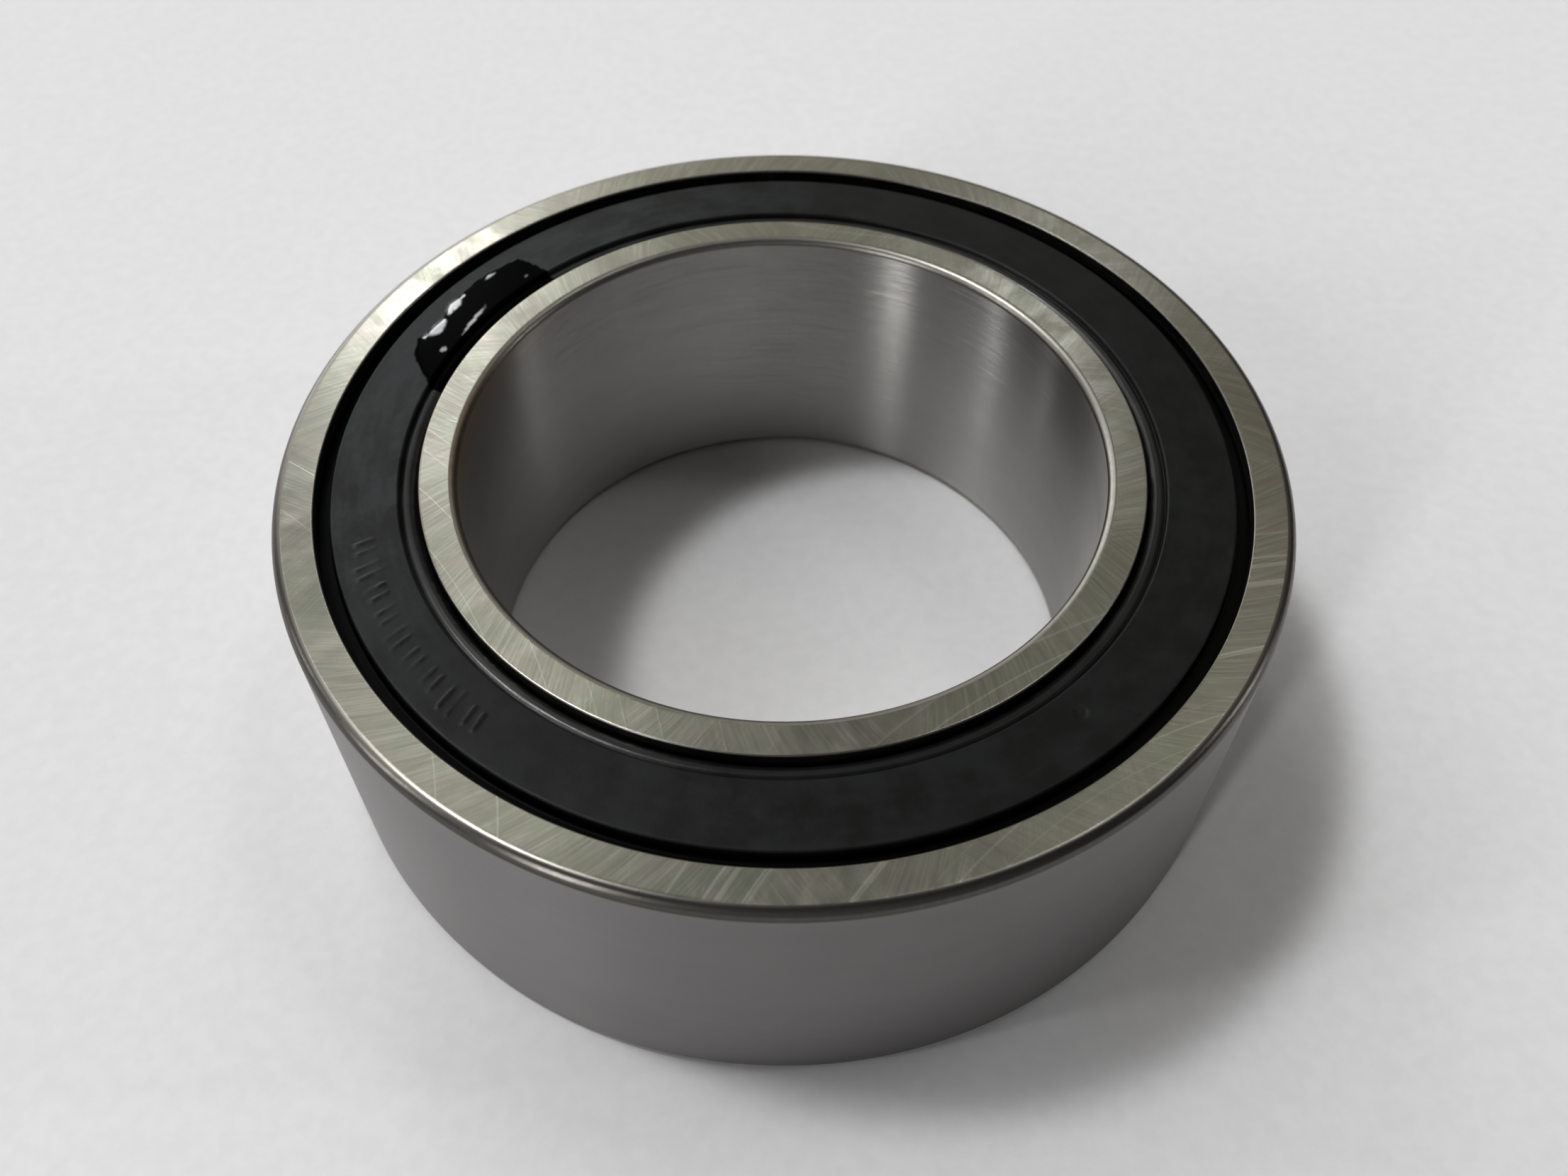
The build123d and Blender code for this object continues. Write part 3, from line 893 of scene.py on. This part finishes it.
def insert_steel():
    mat = Material("insert_steel")
    grain = mat.noise(mat.point, scale=2600.0, detail=4.0, rough=0.65)
    cloud = mat.noise(mat.point, scale=210.0, detail=3.0, rough=0.6)
    base = mat.mix(mat.fade(grain, over=(0.38, 0.68)), (0.30, 0.30, 0.295), (0.42, 0.42, 0.41))
    return mat.finish(
        Base_Color=mat.tint(base, mat.fade(cloud, over=(0.5, 0.7)), strength=0.3,
                            colour=(0.25, 0.235, 0.20)),
        Metallic=1.0,
        Roughness=mat.remap(cloud, over=(0.35, 0.7), to=(0.38, 0.55)),
        Normal=mat.bumps((grain, 1e-5, 0.5)))


def dress(obj, material):
    obj.data.materials.clear()
    obj.data.materials.append(material)


balls, cage, plate = ball_steel(), nylon(), insert_steel()
for node_name, node_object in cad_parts.items():
    if node_name.startswith("ball_"):
        dress(node_object, balls)
    elif node_name.startswith("cage_"):
        dress(node_object, cage)
    elif node_name.endswith("_insert"):
        dress(node_object, plate)


# ---------------------------------------------------------------------------
# Floor
# ---------------------------------------------------------------------------
FLOOR_HALF = 3.0        # metres


def floor_paper():
    mat = Material("floor_paper")
    pulp = mat.noise(mat.point, scale=900.0, detail=4.0, rough=0.6)
    return mat.finish(
        Base_Color=mat.mix(mat.fade(pulp, over=(0.3, 0.7)),
                           (0.875, 0.870, 0.880), (0.905, 0.900, 0.910)),
        Roughness=0.75,
        Specular_IOR_Level=0.2,
        Normal=mat.bumps((pulp, 4e-5, 0.15)))


floor_mesh = bpy.data.meshes.new("floor")
floor_mesh.from_pydata([(x * FLOOR_HALF, y * FLOOR_HALF, FLOOR_Z)
                        for x, y in ((-1, -1), (1, -1), (1, 1), (-1, 1))], [], [(0, 1, 2, 3)])
floor_mesh.materials.append(floor_paper())
add_object("floor", floor_mesh)

# ---------------------------------------------------------------------------
# World: all the light comes from panels painted on the sky
# ---------------------------------------------------------------------------
# soft round panels: azimuth, elevation (degrees), tightness, strength, tint
PANELS = (
    (120, 8, 14, 3.3, (1.0, 1.0, 1.0)),
    (75, 26, 14, 0.2, (1.05, 1.0, 0.85)),
    (40, 46, 13, 0.42, (1.05, 1.0, 0.90)),
    (160.4, 65, 400, 76.0, (1.0, 1.0, 1.0)),
    (30, 66, 300, 8.0, (1.0, 1.0, 1.0)),
    (150, 52, 60, 1.8, (1.0, 1.0, 1.0)),
    (180, 45, 60, 1.8, (1.0, 1.0, 1.02)),
    (130, 28, 60, 1.3, (1.0, 1.0, 1.0)),
    (93, 34, 100, 0.45, (1.0, 1.0, 0.85)),
    (114, 59, 120, 1.4, (0.98, 1.02, 0.95)),
    (61, 58, 120, 0.6, (0.98, 1.02, 0.95)),
    (108, 37, 600, 13.0, (0.98, 1.0, 1.02)),
    (107, 53, 900, 4.8, (1.0, 1.0, 0.98)),
    (75, 40, 900, 5.0, (0.97, 1.0, 1.04)),
)
# upright strips: azimuth, half width, lowest and highest elevation, strength
STRIPS = (
    (-130, 2.2, 5, 40, 19.0),
    (-167, 2.3, 5, 38, 10.0),
    (170, 1.2, 5, 32, 8.0),
    (2.5, 1.0, 5, 32, 14.0),
)
# dim card behind the camera: azimuth, elevation, tightness, strength
CARD = (-90, 12, 3.0, 0.32)
BACKDROP = (0.62, 0.615, 0.625, 1.0)        # plain colour the camera sees
STRIP_SIDE, STRIP_END = 6.0, 20.0           # edge sharpness of the strips

world = bpy.data.worlds.new("studio")
bpy.context.scene.world = world
world.use_nodes = True
sky = Nodes(world.node_tree)
direction = sky.put("ShaderNodeTexCoord").outputs["Generated"]


def lobe(azimuth, elevation, tightness):
    """Round glow, 1 at its centre."""
    az, el = math.radians(azimuth), math.radians(elevation)
    centre = (math.cos(el) * math.cos(az), math.cos(el) * math.sin(az), math.sin(el))
    off = sky.minus(sky.vec("DOT_PRODUCT", direction, centre), 1.0)
    return sky.math("EXPONENT", sky.times(off, float(tightness)))


_, _, sky_z = (sky_xyz := sky.xyz(direction))
bearing = sky.math("ARCTAN2", sky_xyz[1], sky_xyz[0])


def strip(azimuth, half_width, lowest, highest):
    """Upright band, 1 inside, with short soft edges."""
    off = sky.math("WRAP", sky.minus(bearing, math.radians(azimuth)), math.pi, -math.pi)
    off = sky.math("DIVIDE", sky.math("ABSOLUTE", off), math.radians(half_width))
    band = sky.math("MULTIPLY_ADD", sky.minus(1.0, off), STRIP_SIDE, 0.5, clamp=True)
    above = sky.minus(sky_z, math.sin(math.radians(lowest)))
    below = sky.minus(math.sin(math.radians(highest)), sky_z)
    return sky.times(band, sky.times(*(sky.math("MULTIPLY", side, STRIP_END, clamp=True)
                                       for side in (above, below))))


lights = [sky.scaled(shade(tint, strength), lobe(*place))
          for *place, strength, tint in PANELS]
lights += [sky.scaled((strength,) * 3, strip(*place)) for *place, strength in STRIPS]
# only reflections see the card; it keeps surfaces facing the camera from going black
ray = sky.put("ShaderNodeLightPath").outputs
lights.append(sky.scaled((CARD[3],) * 3, sky.times(lobe(*CARD[:3]), ray["Is Glossy Ray"])))
total = reduce(partial(sky.vec, "ADD"), lights)
lit, plain = (sky.put("ShaderNodeBackground", {"Color": colour, "Strength": 1.0}).outputs[0]
              for colour in (total, BACKDROP))
shown = sky.put("ShaderNodeMixShader", {0: ray["Is Camera Ray"], 1: lit, 2: plain})
sky.put("ShaderNodeOutputWorld", {0: shown.outputs[0]})

# ---------------------------------------------------------------------------
# Camera
# ---------------------------------------------------------------------------
AIM = Vector((-0.00127430784, 0.01210898772, FLOOR_Z))     # point on the floor, metres
DISTANCE = 0.10762387416                                   # camera from that point
ELEVATION, ROLL = 0.8562, -0.0097                          # radians

lens = bpy.data.cameras.new("camera")
lens.sensor_width = 36.0
lens.lens = 31.15822785
lens.shift_x = 0.0140867993
lens.shift_y = -0.0481103074
lens.clip_start = 0.005
lens.clip_end = 20
lens.dof.use_dof = True
lens.dof.focus_distance = 0.077
lens.dof.aperture_fstop = 50.0
camera = add_object("camera", lens)
back = Vector((0, -math.cos(ELEVATION), math.sin(ELEVATION)))
level_right = Vector((1, 0, 0))
level_up = level_right.cross(-back)
right = level_right * math.cos(ROLL) + level_up * math.sin(ROLL)
up = -level_right * math.sin(ROLL) + level_up * math.cos(ROLL)
axes = Matrix((right, up, back)).transposed()
camera.matrix_world = Matrix.Translation(AIM + back * DISTANCE) @ axes.to_4x4()

scene = bpy.context.scene
scene.camera = camera
scene.view_settings.view_transform = "Standard"
scene.view_settings.gamma = 0.85        # darker mid tones, more contrast
